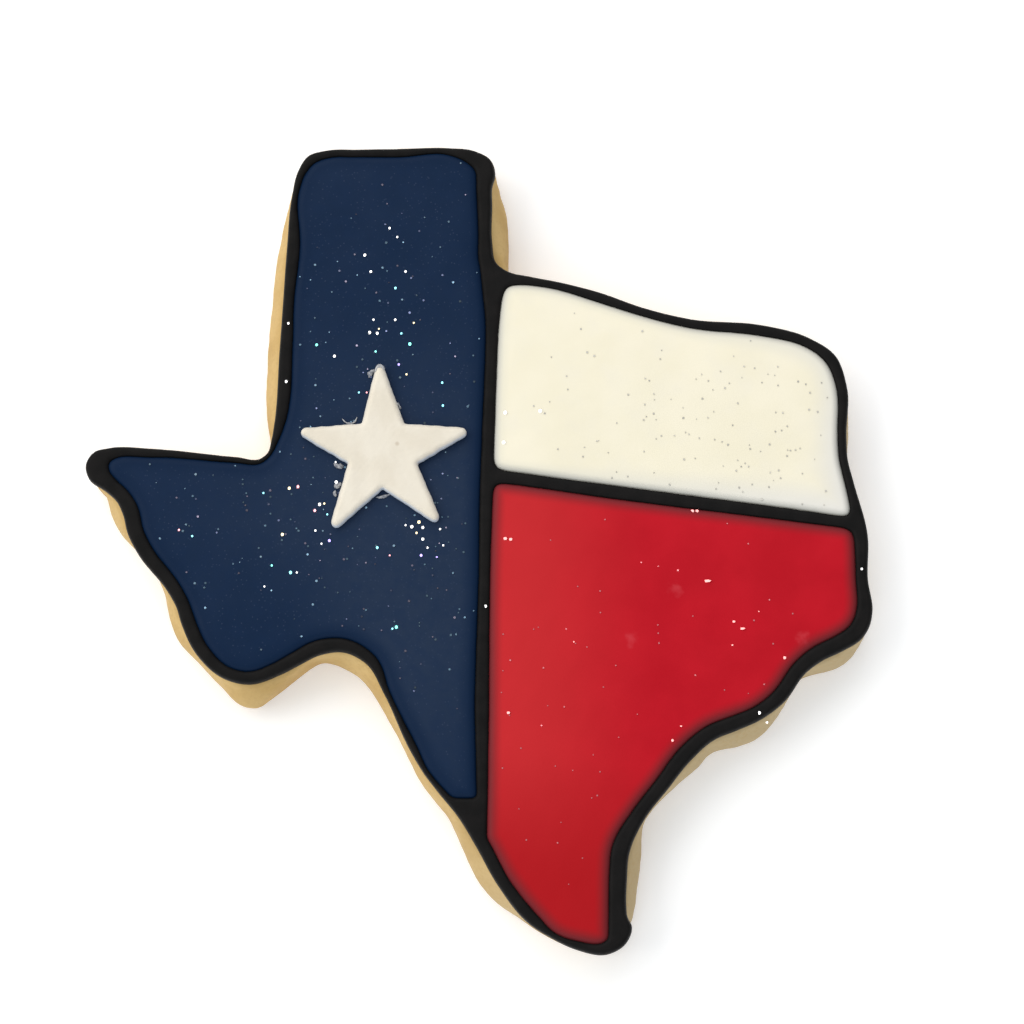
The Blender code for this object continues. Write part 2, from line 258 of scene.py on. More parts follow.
def put_mesh(name, points, faces, finish, node=None, marks=None):
    """One finished piece. Its points are in millimetres about MIDDLE, and marks are numbers kept at each."""
    mesh = bpy.data.meshes.new(name)
    mesh.from_pydata((points - (*MIDDLE, 0)) * MM, [], faces)
    mesh.shade_smooth()
    for mark, values in (marks or {}).items():
        kept = mesh.attributes.new(mark, "FLOAT", "POINT")
        kept.data.foreach_set("value", np.asarray(values, np.float32))
    mesh.materials.append(finish)
    made = bpy.data.objects.new(name, mesh)
    bpy.context.scene.collection.objects.link(made)
    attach(made, "root")
    if node:
        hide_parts(node)
    return made


def closed_skin(rings, foot, crown):
    """Points and faces of a closed skin: rings of equal length from the lowest up, and a pole at each end."""
    rows, around = rings.shape[:2]
    here = np.arange(around)
    after = (here + 1) % around
    start = (np.arange(rows - 1) * around)[:, None]
    quads = np.stack([start + here, start + after, start + after + around, start + here + around], axis=2)
    foot_at, crown_at, last = rows * around, rows * around + 1, (rows - 1) * around
    lower = np.stack([np.full(around, foot_at), after, here], axis=1)
    upper = np.stack([last + here, last + after, np.full(around, crown_at)], axis=1)
    points = np.vstack([rings.reshape(-1, 3), foot, crown])
    return points, quads.reshape(-1, 4).tolist() + lower.tolist() + upper.tolist()


class Wire:
    """One socket of a finish. Sums on it add Math nodes, with a number or another wire on either side."""

    def __init__(self, finish, socket):
        self.finish, self.socket = finish, socket

    def maths(self, operation, *values):
        """A Math node of this operation on the values."""
        return self.finish.node("ShaderNodeMath", {"operation": operation}, dict(enumerate(values)))

    def __add__(self, other):
        return self.maths("ADD", self, other)

    def __sub__(self, other):
        return self.maths("SUBTRACT", self, other)

    def __rsub__(self, other):
        return self.maths("SUBTRACT", other, self)

    def __mul__(self, other):
        return self.maths("MULTIPLY", self, other)

    def __truediv__(self, other):
        return self.maths("DIVIDE", self, other)

    __radd__ = __add__
    __rmul__ = __mul__

    def within(self, low, high):
        """This value from low to high as 0 to 1, eased at both ends and held outside them."""
        return self.finish.node(
            "ShaderNodeMapRange", {"interpolation_type": "SMOOTHSTEP"}, {"Value": self, 1: low, 2: high}
        )


class Finish:
    """A material with one Principled shader. Steady values are set on the shader's own sockets."""

    def __init__(self, name, **steady):
        self.material = bpy.data.materials.new(name)
        self.material.use_nodes = True
        self.tree = self.material.node_tree
        self.shader = self.tree.nodes["Principled BSDF"]
        for socket, value in steady.items():
            self.shader.inputs[socket.replace("_", " ")].default_value = value
        self.place = self.node("ShaderNodeTexCoord", {}, {}, "Object")

    def node(self, kind, settings, sockets, output=0):
        """Adds a node with its settings and sockets, and gives one of its outputs."""
        made = self.tree.nodes.new(kind)
        for name, value in settings.items():
            setattr(made, name, value)
        for name, value in sockets.items():
            self.feed(made.inputs[name], value)
        return Wire(self, made.outputs[output])

    def feed(self, socket, value):
        """Links a wire to a socket, or sets a number or a colour on it."""
        if isinstance(value, Wire):
            self.tree.links.new(value.socket, socket)
        else:
            socket.default_value = value

    def mottle(self, size, detail=3.0):
        """Cloudy noise, about 0 to 1, with patches of the given size in millimetres."""
        sockets = {"Vector": self.place, "Scale": 1 / (size * MM), "Detail": detail}
        return self.node("ShaderNodeTexNoise", {}, sockets, "Fac")

    def specks(self, size):
        """The distance to the nearest of scattered points, which are about this many millimetres apart."""
        sockets = {"Vector": self.place, "Scale": 1 / (size * MM)}
        return self.node("ShaderNodeTexVoronoi", {}, sockets, "Distance")

    def along(self, x, y, z=0.0):
        """How far a point lies along a direction, in millimetres times the direction's length."""
        sockets = {0: self.place, 1: (x, y, z)}
        return self.node("ShaderNodeVectorMath", {"operation": "DOT_PRODUCT"}, sockets, "Value") / MM

    def away(self, x, y, z):
        """How far a point is from a place, in millimetres."""
        sockets = {0: self.place, 1: (x * MM, y * MM, z * MM)}
        return self.node("ShaderNodeVectorMath", {"operation": "DISTANCE"}, sockets, "Value") / MM

    def mark(self, name, output="Fac"):
        """What is kept at each point of the mesh under this name, as a number or, with Color, as a colour."""
        return self.node("ShaderNodeAttribute", {"attribute_name": name}, {}, output)

    def blend(self, amount, first, second):
        """A mix of two colours, from the first at 0 to the second at 1."""
        return self.node("ShaderNodeMix", {"data_type": "RGBA"}, {0: amount, 6: first, 7: second}, 2)

    def give(self, name, value):
        """Feeds one socket of the shader."""
        self.feed(self.shader.inputs[name], value)

    def relief(self, height, depth):
        """Gives the surface fine relief. Height runs from 0 to 1, and depth is that step in millimetres."""
        bump = self.node("ShaderNodeBump", {}, {"Height": height, "Distance": depth * MM, "Strength": 1.0})
        self.give("Normal", bump)


OUTLINE = loop_through(
    PANHANDLE + RED_RIVER + EAST_SIDE + GULF_COAST + SOUTH_TIP + RIO_GRANDE + WEST_ARM, 10
)
ICING_EDGE = evenly(OUTLINE[::-1, :2], COOKIE_AROUND)


def cookie_rings():
    """Rings of the cookie: the icing's edge, carried out to the belly by a share that changes with height."""
    centre = np.array(COOKIE_CENTRE)
    from_centre = ICING_EDGE - centre
    bearings = np.arctan2(from_centre[:, 1], from_centre[:, 0])
    nearest = ((ICING_EDGE[:, None] - OUTLINE[:, :2]) ** 2).sum(axis=2).argmin(axis=1)
    undercut = np.maximum(0, -OUTLINE[nearest, 3])[:, None]
    spread = OUTLINE[:, [0, 1, 3]]
    spread[:, 2] = np.maximum(0, spread[:, 2])
    top = eased(ICING_EDGE, 0.5)
    smooth = eased(ICING_EDGE, 1.5)
    along = np.roll(smooth, -1, axis=0) - np.roll(smooth, 1, axis=0)
    inward = np.stack([-along[:, 1], along[:, 0]], axis=1) / np.linalg.norm(along, axis=1, keepdims=True)
    widest = reach_inward(centre, bearings, strokes(spread, closed=True))
    belly = eased(widest + inward * undercut, 0.7)
    levels = (1 - np.cos(np.linspace(0, np.pi, SIDE_LEVELS))) / 2
    rings = []
    for level in levels:
        below = max(0, (BELLY - level) / BELLY)
        above = max(0, (level - BELLY) / (1 - BELLY))
        share = 1 - FOOT_LOSS * below**2.2 - above**2.3
        tuck = FOOT_TUCK * max(0, 1 - level / FOOT_TOP) ** 2
        tuck += TOP_ROUNDING * max(0, (level - EDGE_START) / (1 - EDGE_START)) ** 2
        ring = at_height(top + (belly - top) * share + inward * tuck, level * COOKIE_HEIGHT)
        crumb = unevenness(ring, 5.0, 0.08, 11) + unevenness(ring, 1.6, 0.03, 12)
        crumb += unevenness(ring, 0.7, 0.012, 13)
        fade = max(0, math.sin(math.pi * level)) ** 0.4
        ring[:, :2] += inward * ((CRUMB_INSET - crumb) * fade)[:, None]
        rings.append(ring)

    def drawn_in(ring, share):
        """The ring pulled in towards the cookie's centre, at the same height."""
        return at_height(centre + (ring[:, :2] - centre) * share, ring[:, 2])

    under = [drawn_in(rings[0], share) for share in (0.4, 0.75, 0.93)]
    over = [drawn_in(rings[-1], share) for share in (0.95, 0.8, 0.4)]
    return np.array(under + rings + over)


rings = cookie_rings()
dough = Finish("baked_dough", Roughness=0.78, Specular_IOR_Level=0.25)
height = dough.along(0, 0, 1) / COOKIE_HEIGHT
south_east = dough.along(0.9, -0.45)
crumb = dough.mottle(0.45, 4.0)
golden = dough.blend(dough.mottle(4.5).within(0.3, 0.7), (0.535, 0.352, 0.130, 1), (0.620, 0.430, 0.180, 1))
# Painted shade: towards the east and south-east the side is painted cooler and greyer, where less of the warm
# window light falls.
pale = dough.blend(south_east.within(2.0, 42.0), golden, (0.490, 0.372, 0.203, 1))
grained = dough.blend(crumb.within(0.45, 0.75) * 0.35, pale, (0.47, 0.30, 0.115, 1))
browned = dough.blend((1 - height.within(0.02, 0.30)) * 0.55, grained, (0.44, 0.25, 0.085, 1))
dough.give("Base Color", browned)
dough.relief(crumb * 0.7 + dough.specks(0.8).within(0.0, 0.35) * 0.3, 0.05)
points, faces = closed_skin(rings, (*COOKIE_CENTRE, 0.0), (*COOKIE_CENTRE, COOKIE_HEIGHT))
put_mesh("baked_cookie", points, faces, dough.material, "cookie")

# The black line.
# Stiff black icing piped on the cookie: a bead all round the edge, an upright and a crossbar, whose corners
# have run together. It dries with a low sheen and keeps the three pools apart.

BED = COOKIE_HEIGHT - 0.05
LINE_HEIGHT = 1.35
BEAD_SHOULDER = 0.55
# The bead's mesh: rows of points this far in from its edges, and a staggered grid between them. Points keep
# clear of the edges, and of those that fall in one square of the spacing only one is kept.
BEAD_ROWS = (0.1, 0.24, 0.42, 0.7)
BEAD_GRID = 0.4
BEAD_SPACING = 0.13
BEAD_CLEARANCE = 0.085
BEAD_FOOT_TUCK = 0.12
# Icing flows out along this many bearings in this many steps, and each step ends this far short of the dams.
FLOOD_BEARINGS = 720
FLOOD_STEPS = 50
FLOOD_STOP = 0.002
UPRIGHT = (
    (1.9, 36.6, 1.9),
    (1.75, 32.4, 1.3),
    (1.65, 26.0, 0.85),
    (1.0, 7.4, 0.87),
    (0.7, -6.3, 0.77),
    (0.45, -20.0, 0.93),
    (0.5, -31.7, 0.75),
    (0.5, -38.4, 0.6),
)
CROSSBAR = ((1.1, 8.75, 0.9), (5.4, 8.2, 0.85), (18.1, 6.4, 0.9), (37.0, 3.95, 0.85), (48.6, 2.35, 0.75))
LOW_CORNER = ((-5.0, -33.9, 1.3), (-0.6, -33.9, 1.3))
BLUE_POUR, BLUE_AROUND = (-10.0, -2.4), 560
WHITE_POUR, WHITE_AROUND = (24.0, 17.0), 420
RED_POUR, RED_AROUND = (15.6, -12.6), 480


def line_through(rows, steps):
    """An open smooth curve through the rows."""
    rows = np.array(rows)
    slope = np.gradient(rows, axis=0)
    return np.vstack([curve_steps(rows[:-1], rows[1:], slope[:-1], slope[1:], steps), rows[-1:]])


def flooded_edge(pour, dams, count, south, north):
    """Where icing poured at a point stops: along each bearing a point walks out by its clearance to the dams.

    The corners are eased by one reach at the south end and by another at the north end.
    """
    pour = np.array(pour)
    heading = headings(np.linspace(0, 2 * np.pi, FLOOD_BEARINGS, endpoint=False))
    run = np.zeros(FLOOD_BEARINGS)
    for _ in range(FLOOD_STEPS):
        run = run + clearance(pour + heading * run[:, None], dams) - FLOOD_STOP
    edge = evenly(pour + heading * run[:, None], count)
    share = (edge[:, 1:] - edge[:, 1].min()) / np.ptp(edge[:, 1])
    return eased(edge, south) * (1 - share) + eased(edge, north) * share


def outward(edge):
    """The unit normal at each point of an anticlockwise edge, pointing out of it."""
    along = np.roll(edge, -1, axis=0) - np.roll(edge, 1, axis=0)
    return np.stack([along[:, 1], -along[:, 0]], axis=1) / np.linalg.norm(along, axis=1, keepdims=True)


def inside(points, edge):
    """Which points lie inside a closed edge: those with an odd number of crossings to their right."""
    odd = np.zeros(len(points), bool)
    for (x, y), (x_end, y_end) in zip(edge, np.roll(edge, -1, axis=0)):
        if y != y_end:
            between = (y > points[:, 1]) != (y_end > points[:, 1])
            odd ^= between & (points[:, 0] < x + (points[:, 1] - y) * (x_end - x) / (y_end - y))
    return odd


def bare(edge):
    """A closed edge as strokes without width."""
    return strokes(np.column_stack([edge, np.zeros(len(edge))]), closed=True)


def bead_surface(outer, pools):
    """The bead's top: its loops, all the points between them, and each point's height.

    The height adds a quarter round of the distance to the outer edge, by itself and times a quarter round of
    the distance to the pools, to a low foot.
    """
    loops = [outer, *pools]
    near = [outer - outward(outer) * row for row in BEAD_ROWS]
    near += [pool + outward(pool) * row for pool in pools for row in BEAD_ROWS]
    across, up = np.meshgrid(np.arange(-52, 52, BEAD_GRID), np.arange(-54, 54, BEAD_GRID))
    stagger = (np.round(up.ravel() / BEAD_GRID) % 2) * BEAD_GRID / 2
    near.append(np.stack([across.ravel() + stagger, up.ravel()], axis=1))
    near = np.vstack(near)
    near = near[inside(near, outer)]
    for pool in pools:
        near = near[~inside(near, pool)]
    to_outer = clearance(near, bare(outer))
    to_pools = clearance(near, bare(np.vstack(pools[:1])))
    for pool in pools[1:]:
        to_pools = np.minimum(to_pools, clearance(near, bare(pool)))
    kept = (to_outer > BEAD_CLEARANCE) & (to_pools > BEAD_CLEARANCE)
    near, to_outer, to_pools = near[kept], to_outer[kept], to_pools[kept]
    _, first = np.unique(np.round(near / BEAD_SPACING), axis=0, return_index=True)
    near, to_outer, to_pools = near[first], to_outer[first], to_pools[first]
    rim = np.vstack(loops)
    points = np.vstack([rim, near])
    to_outer = np.concatenate([np.zeros(len(outer)), np.full(len(rim) - len(outer), 9.0), to_outer])
    to_pools = np.concatenate([np.full(len(outer), 9.0), np.zeros(len(rim) - len(outer)), to_pools])
    for pool_start, pool in zip(np.cumsum([len(outer)] + [len(p) for p in pools[:-1]]), pools):
        to_outer[pool_start:pool_start + len(pool)] = clearance(pool, bare(outer))

    def quarter_round(distance):
        return np.sqrt(1 - (1 - np.clip(distance / BEAD_SHOULDER, 0, 1)) ** 2)

    from_outer, from_pools = quarter_round(to_outer), quarter_round(to_pools)
    share = 0.45 * from_outer + 0.15 + 0.4 * from_outer * from_pools
    height = LINE_HEIGHT * share + unevenness(points, 2.6, 0.03, 21) + unevenness(points, 9.0, 0.05, 22)
    return loops, points, BED + height


def bead_mesh(outer, pools):
    """The bead as a closed mesh: a top and a foot triangulated between the same loops, joined by walls."""
    loops, flat, height = bead_surface(outer, pools)
    sizes = [len(loop) for loop in loops]
    starts = np.cumsum([0] + sizes[:-1])
    ties = [(s + i, s + (i + 1) % n) for s, n in zip(starts, sizes) for i in range(n)]

    def between(points):
        made = delaunay_2d_cdt([Vector(p) for p in points], ties, [], 0, 1e-7)
        triangles = np.array(made[2])
        middles = points[triangles].mean(axis=1)
        kept = inside(middles, outer)
        for pool in pools:
            kept &= ~inside(middles, pool)
        triangles = triangles[kept]
        a, b, c = (points[triangles[:, i]] for i in range(3))
        turn = (b[:, 0] - a[:, 0]) * (c[:, 1] - a[:, 1]) - (b[:, 1] - a[:, 1]) * (c[:, 0] - a[:, 0])
        return np.where(turn[:, None] > 0, triangles, triangles[:, ::-1])

    rim = sum(sizes)
    top = between(flat)
    under = between(flat[:rim])[:, ::-1] + len(flat)
    foot = flat[:rim].copy()
    foot[:sizes[0]] -= outward(outer) * BEAD_FOOT_TUCK
    points = np.vstack([np.column_stack([flat, height]), at_height(foot, BED)])
    walls = []
    for n, (start, size) in enumerate(zip(starts, sizes)):
        here = start + np.arange(size)
        after = start + (np.arange(size) + 1) % size
        wall = np.stack([here + len(flat), after + len(flat), after, here], axis=1)
        walls += (wall if n == 0 else wall[:, ::-1]).tolist()
    return points, top.tolist() + under.tolist() + walls


rim_dam = strokes(OUTLINE[:, :3], closed=True)
dams = np.vstack([rim_dam] + [strokes(line_through(rows, 6)) for rows in (UPRIGHT, CROSSBAR, LOW_CORNER)])
blue_edge = flooded_edge(BLUE_POUR, dams, BLUE_AROUND, south=0.3, north=0.45)
white_edge = flooded_edge(WHITE_POUR, dams, WHITE_AROUND, south=0.9, north=1.2)
red_edge = flooded_edge(RED_POUR, dams, RED_AROUND, south=0.3, north=1.0)
black = Finish("black_icing", Roughness=0.5, Specular_IOR_Level=0.06)
clouds = black.mottle(2.2).within(0.3, 0.7)
black.give("Base Color", black.blend(clouds, (0.0072, 0.0069, 0.0068, 1), (0.0098, 0.0090, 0.0088, 1)))
black.give("Roughness", 0.42 + black.mottle(1.2) * 0.2)
black.relief(black.mottle(0.25), 0.015)
points, faces = bead_mesh(ICING_EDGE, [blue_edge, white_edge, red_edge])
put_mesh("piped_line", points, faces, black.material, "black_line")

# The blue pool.
# Thin blue icing flooded between the lines. It swells over the line in a soft round rim, and it dries
# nearly flat with a satin face.

POOL_RIM_WIDTH = 0.95
POOL_RIM_FOOT = 0.95
POOL_RIM_TOP = 1.42
POOL_CROWN = 0.25
POOL_TUCK = 0.12
# The reach over which the crown rises, and how much of the way to the pouring point the rings cover.
CROWN_REACH = 5.0
INNERMOST_RING = 0.985


def pool_rings(pour, edge, rows, seed):
    """Rings of a pool: a foot under the line, then rings drawn in to the pouring point, closer near the rim.

    The height is a rounded rim over the distance to the edge, plus a crown that grows with that distance.
    """
    pour = np.array(pour)
    tucked = edge + outward(edge) * POOL_TUCK
    shares = 1 - np.linspace(0, INNERMOST_RING, rows) ** 1.75
    flat = np.concatenate([tucked[None], pour + (edge - pour) * shares[:, None, None]])
    points = flat.reshape(-1, 2)
    depth = clearance(points[len(edge):], bare(edge))
    depth = np.concatenate([np.zeros(len(edge)), np.maximum(depth, 0)])
    rim = (1 - (1 - np.clip(depth / POOL_RIM_WIDTH, 0, 1)) ** 2) ** 0.55
    crown = POOL_CROWN * (1 - np.exp(-depth / CROWN_REACH))
    level = BED + POOL_RIM_FOOT + (POOL_RIM_TOP - POOL_RIM_FOOT) * rim + crown
    level = level + rim * (unevenness(points, 11.0, 0.045, seed) + unevenness(points, 3.0, 0.012, seed + 1))
    top = np.column_stack([points, level]).reshape(rows + 1, len(edge), 3)
    foot = at_height(tucked, BED)[None]
    core = at_height(pour + (tucked - pour) * 0.3, BED)[None]
    marks = np.concatenate([np.zeros(2 * len(edge)), depth])
    return np.concatenate([core, foot, top]), marks


def put_pool(name, pour, edge, rows, seed, finish):
    """One finished pool. Returns its rings, which the glitter lies on."""
    rings, marks = pool_rings(pour, edge, rows, seed)
    crown = (*pour, rings[-1, :, 2].mean())
    points, faces = closed_skin(rings, (*pour, BED), crown)
    marks = {"depth": np.concatenate([marks, [0, marks[-1]]])}
    put_mesh(name + "_flood", points, faces, finish.material, name + "_icing", marks)
    return rings


blue = Finish("blue_icing", Roughness=0.45, Specular_IOR_Level=0.08)
deep = blue.blend(blue.mottle(9.0).within(0.3, 0.7), (0.0040, 0.0163, 0.0470, 1), (0.0064, 0.0192, 0.0515, 1))
# Painted sheen: a broad lighter patch over the middle of the blue, fading out towards its south-west lobe.
sheen_patch = (1 - blue.away(-6, -4, 9).within(8.0, 40.0)) * blue.away(-30, -13, 9).within(3.0, 20.0)
sheened_blue = blue.blend(sheen_patch, deep, (0.0150, 0.0290, 0.0620, 1))
dusted = blue.blend((1 - blue.specks(0.55).within(0.06, 0.24)) * 0.6, sheened_blue, (0.0330, 0.0500, 0.0950, 1))
grained = blue.blend(blue.mottle(1.4, 4.0).within(0.35, 0.7) * 0.3, dusted, (0.0050, 0.0190, 0.0570, 1))
rimmed = blue.blend(blue.mark("depth").within(0.0, 2.6), (0.0028, 0.0140, 0.0430, 1), grained)
blue.give("Base Color", rimmed)
blue.give("Roughness", 0.4 + blue.mottle(3.0) * 0.2)
blue.relief(blue.mottle(0.5), 0.01)
blue_rings = put_pool("blue", BLUE_POUR, blue_edge, rows=92, seed=31, finish=blue)

# The white pool.
# The same flooded icing left uncoloured, so it is creamy. Its rim looks greyer, where the black shows
# through the thin edge, and a wider band along the rim is painted shade, widest at the south-east.

white = Finish("white_icing", Roughness=0.42, Specular_IOR_Level=0.12)
# Painted shade: a band along the rim, wider towards the south-east, is painted darker, yellowish at the
# north-west and cooler at the south-east.
south_east = white.along(0.07, -0.08)
shade_band = white.mark("depth") / south_east.maths("MAXIMUM", south_east + 2.0, 1.6)
cream = white.blend(white.mottle(8.0).within(0.3, 0.7), (0.850, 0.790, 0.610, 1), (0.880, 0.820, 0.650, 1))
tinged = white.blend(white.mottle(3.5, 5.0).within(0.45, 0.75) * 0.25, cream, (0.82, 0.775, 0.66, 1))
shadow = white.blend(south_east.within(-1.0, 4.0), (0.750, 0.715, 0.590, 1), (0.775, 0.755, 0.710, 1))
shaded = white.blend(shade_band.within(0.0, 1.1), shadow, tinged)
rimmed = white.blend(white.mark("depth").within(-0.15, 0.95), (0.52, 0.51, 0.46, 1), shaded)
white.give("Base Color", rimmed)
white.give("Roughness", 0.36 + white.mottle(3.0) * 0.2)
white.relief(white.mottle(0.5), 0.008)
white_rings = put_pool("white", WHITE_POUR, white_edge, rows=66, seed=41, finish=white)

# The red pool.
# Flooded icing in a strong red. Its west is painted a little lighter as a painted sheen, and it is lighter
# in three small smudged patches.

RED_PATCHES = ((25.1, -6.4), (19.4, -12.7), (41.1, -12.6))

red = Finish("red_icing", Roughness=0.42, Specular_IOR_Level=0.08)
ruby = red.blend(red.mottle(7.0).within(0.3, 0.7), (0.455, 0.0052, 0.0138, 1), (0.505, 0.0070, 0.0168, 1))
# Painted sheen: the west part of the red is painted lighter.
west_sheen = red.blend((1 - red.along(1, 0).within(4.0, 24.0)) * 0.7, ruby, (0.560, 0.0265, 0.0290, 1))
deeper = red.blend(red.along(0, 1).within(-44.0, -24.0), (0.405, 0.0070, 0.0110, 1), west_sheen)
rimmed = red.blend(red.mark("depth").within(-0.1, 1.9), (0.150, 0.018, 0.022, 1), deeper)
for x, y in RED_PATCHES:
    smudge = 1 - (red.away(x, y, 9.1) + red.mottle(0.9) * 2.2).within(0.9, 2.3)
    rimmed = red.blend(smudge * 0.25, rimmed, (0.66, 0.10, 0.12, 1))
red.give("Base Color", rimmed)
red.give("Roughness", 0.36 + red.mottle(3.0) * 0.2)
red.relief(red.mottle(0.5), 0.008)
red_rings = put_pool("red", RED_POUR, red_edge, rows=78, seed=51, finish=red)

# The star.
# Cut from rolled white icing with a small cutter and laid on the blue. Its tips are rounded and a little
# ragged, and its cut edge is softly rounded.

STAR_PLACE = (-12.25, 11.4)
STAR_REACH = 12.6
STAR_WAIST = 0.37
STAR_POINTS = ((2.5, 1.03), (3.4, 0.98), (3.2, 1.04), (2.7, 1.02), (-3.5, 1.0))
STAR_TIP_ROUNDING = 0.65
STAR_WAIST_ROUNDING = 0.35
STAR_FOOT = BED + 1.65
STAR_THICKNESS = 1.35
STAR_EDGE = 0.75


def rounded_corner(before, corner, after, radius, steps):
    """The arc of one radius that touches both sides of a corner."""
    back = (before - corner) / np.linalg.norm(before - corner)
    on = (after - corner) / np.linalg.norm(after - corner)
    half = math.acos(float(back @ on)) / 2
    hub = corner + (back + on) / np.linalg.norm(back + on) * radius / math.sin(half)
    start = corner + back * radius / math.tan(half) - hub
    end = corner + on * radius / math.tan(half) - hub
    turn = math.atan2(start[0] * end[1] - start[1] * end[0], start @ end)
    angle = np.linspace(0, turn, steps)[:, None]
    return hub + start * np.cos(angle) + np.array((-start[1], start[0])) * np.sin(angle)


def star_edge():
    """The star's edge: tips and waists in turn, each corner rounded, then spaced evenly."""
    corners = []
    for i, (lean, reach) in enumerate(STAR_POINTS):
        tip, waist = math.radians(90 + 72 * i + lean), math.radians(90 + 72 * i + 36)
        corners.append(STAR_REACH * reach * np.array((math.cos(tip), math.sin(tip))))
        corners.append(STAR_REACH * STAR_WAIST * np.array((math.cos(waist), math.sin(waist))))
    arcs = []
    for i, corner in enumerate(corners):
        radius = STAR_WAIST_ROUNDING if i % 2 else STAR_TIP_ROUNDING
        arcs.append(rounded_corner(corners[i - 1], corner, corners[(i + 1) % 10], radius, 9))
    edge = evenly(np.vstack(arcs), 600) + STAR_PLACE
    ragged = unevenness(edge, 1.3, 0.035, 61) + unevenness(edge, 4.0, 0.025, 62)
    return edge + outward(edge) * ragged[:, None]


edge = star_edge()
centre = np.array(STAR_PLACE)
shares = 1 - np.linspace(0, 0.97, 46) ** 1.9
flat = centre + (edge - centre) * shares[:, None, None]
depth = np.maximum(clearance(flat.reshape(-1, 2), bare(edge)), 0).reshape(flat.shape[:2])
depth[0] = 0
rounding = np.sqrt(1 - (1 - np.clip(depth / STAR_EDGE, 0, 1)) ** 2)
level = STAR_FOOT + STAR_THICKNESS - STAR_EDGE * (1 - rounding)
level = level + unevenness(flat, 3.5, 0.05, 63) + unevenness(flat, 0.9, 0.012, 64)
top = np.concatenate([flat, level[:, :, None]], axis=2)
walls = [at_height(edge, STAR_FOOT + h) for h in (0.0, 0.25, 0.5)]
core = at_height(centre + (edge - centre) * 0.4, STAR_FOOT)
paste = Finish("star_icing", Roughness=0.6, Specular_IOR_Level=0.3)
warm = paste.blend(paste.mottle(4.0).within(0.35, 0.7), (0.745, 0.678, 0.560, 1), (0.790, 0.728, 0.615, 1))
face = paste.blend(paste.away(-10.3, 12.2, 10.5).within(0.1, 0.4), (0.62, 0.54, 0.43, 1), warm)
# Painted shade and painted reflection: the cut side and the lower part of the rounding are painted
# bluish-grey, more where they face south.
on_top = paste.along(0, 0, 1).within(STAR_FOOT + STAR_THICKNESS - 0.55, STAR_FOOT + STAR_THICKNESS - 0.1)
side_shade = (1 - on_top) * (0.25 + paste.mark("south") * 0.65)
paste.give("Base Color", paste.blend(side_shade, face, (0.56, 0.63, 0.74, 1)))
paste.relief(paste.mottle(0.35, 4.0), 0.02)
points, faces = closed_skin(
    np.concatenate([core[None], walls, top]), (*STAR_PLACE, STAR_FOOT), (*STAR_PLACE, float(level[-1].mean()))
)
south = np.append(np.tile(np.maximum(0, -outward(edge)[:, 1]), 1 + len(walls) + len(top)), [0, 0])
put_mesh("cut_star", points, faces, paste.material, "star", {"south": south})

# The gel round the star.
# Strands of clear piping gel that held the star down. They squeezed out past its edge and dried greyish,
# and one lies over its top tip.

# Each strand: its points, x and y, and its half width at the middle.
GEL_STRANDS = (
    (((-17.5, 15.95), (-17.1, 15.5), (-16.52, 15.32), (-15.95, 15.52), (-15.6, 16.15)), 0.13),
    (((-10.6, 18.05), (-10.25, 17.7), (-10.05, 17.2)), 0.22),
    (((-14.15, 21.3), (-13.95, 21.9), (-13.4, 22.4)), 0.26),
    (((-18.5, 10.15), (-18.0, 9.75), (-17.3, 9.8)), 0.36),
    (((-18.3, 7.5), (-18.05, 7.1), (-17.6, 7.6)), 0.36),
    (((-18.3, 6.6), (-18.4, 6.2), (-18.2, 5.8)), 0.2),
    (((-13.1, 5.7), (-12.3, 5.75), (-11.2, 6.15)), 0.2),
)
TIP_STRAND = (((-13.3, 21.9), (-13.0, 22.5), (-12.5, 22.65), (-12.1, 22.2)), 0.24)


def strands(runs, bottom, seed):
    """Curved strands in one mesh: each is a ring carried along a smooth curve, widest at the middle."""
    around = np.linspace(0, 2 * np.pi, 10, endpoint=False)
    points, faces = [], []
    for run, half_width in runs:
        line = line_through(run, 5)
        t = np.linspace(0.04, 0.96, len(line))
        along = np.gradient(line, axis=0)
        side = np.column_stack([-along[:, 1], along[:, 0]]) / np.linalg.norm(along, axis=1, keepdims=True)
        girth = half_width * np.sin(np.pi * t) ** 0.6 * (1 + unevenness(line, 0.6, 0.4, seed))
        rings = np.empty((len(line), len(around), 3))
        rings[:, :, :2] = line[:, None] + side[:, None] * (girth[:, None] * np.cos(around))[:, :, None]
        rings[:, :, 2] = bottom + 0.8 * girth[:, None] * np.sin(around)
        tube, skin = closed_skin(rings, (*line[0], bottom), (*line[-1], bottom))
        start = sum(len(made) for made in points)
        faces += [[start + i for i in face] for face in skin]
        points.append(tube)
    return np.vstack(points), faces


gel = Finish("clear_gel", Roughness=0.25, Specular_IOR_Level=0.6, Alpha=0.62)
cloudy = gel.blend(gel.mottle(0.3).within(0.3, 0.7), (0.27, 0.28, 0.32, 1), (0.66, 0.66, 0.66, 1))
gel.give("Base Color", cloudy)
points, faces = strands(GEL_STRANDS, bottom=STAR_FOOT + 0.1, seed=71)
put_mesh("gel_strands", points, faces, gel.material)
points, faces = strands((TIP_STRAND,), bottom=STAR_FOOT + STAR_THICKNESS - 0.25, seed=72)
put_mesh("gel_on_tip", points, faces, gel.material)

# The glitter.
# Edible glitter shaken over the iced cookie: six-sided flakes a few tenths of a millimetre across, silvered
# and coated so that some flash blue, violet or gold. It settled mostly round the star.

FLAKE_THICKNESS = 0.03
FLAKE_LIFT = 0.06
SILVER, SKY, MINT, GOLD, ROSE, VIOLET = range(6)
FLAKE_TINTS = np.array((
    (0.95, 0.96, 1.0),
    (0.30, 0.84, 1.0),
    (0.26, 0.95, 0.88),
    (1.0, 0.86, 0.55),
    (1.0, 0.45, 0.52),
    (0.45, 0.38, 1.0),
))
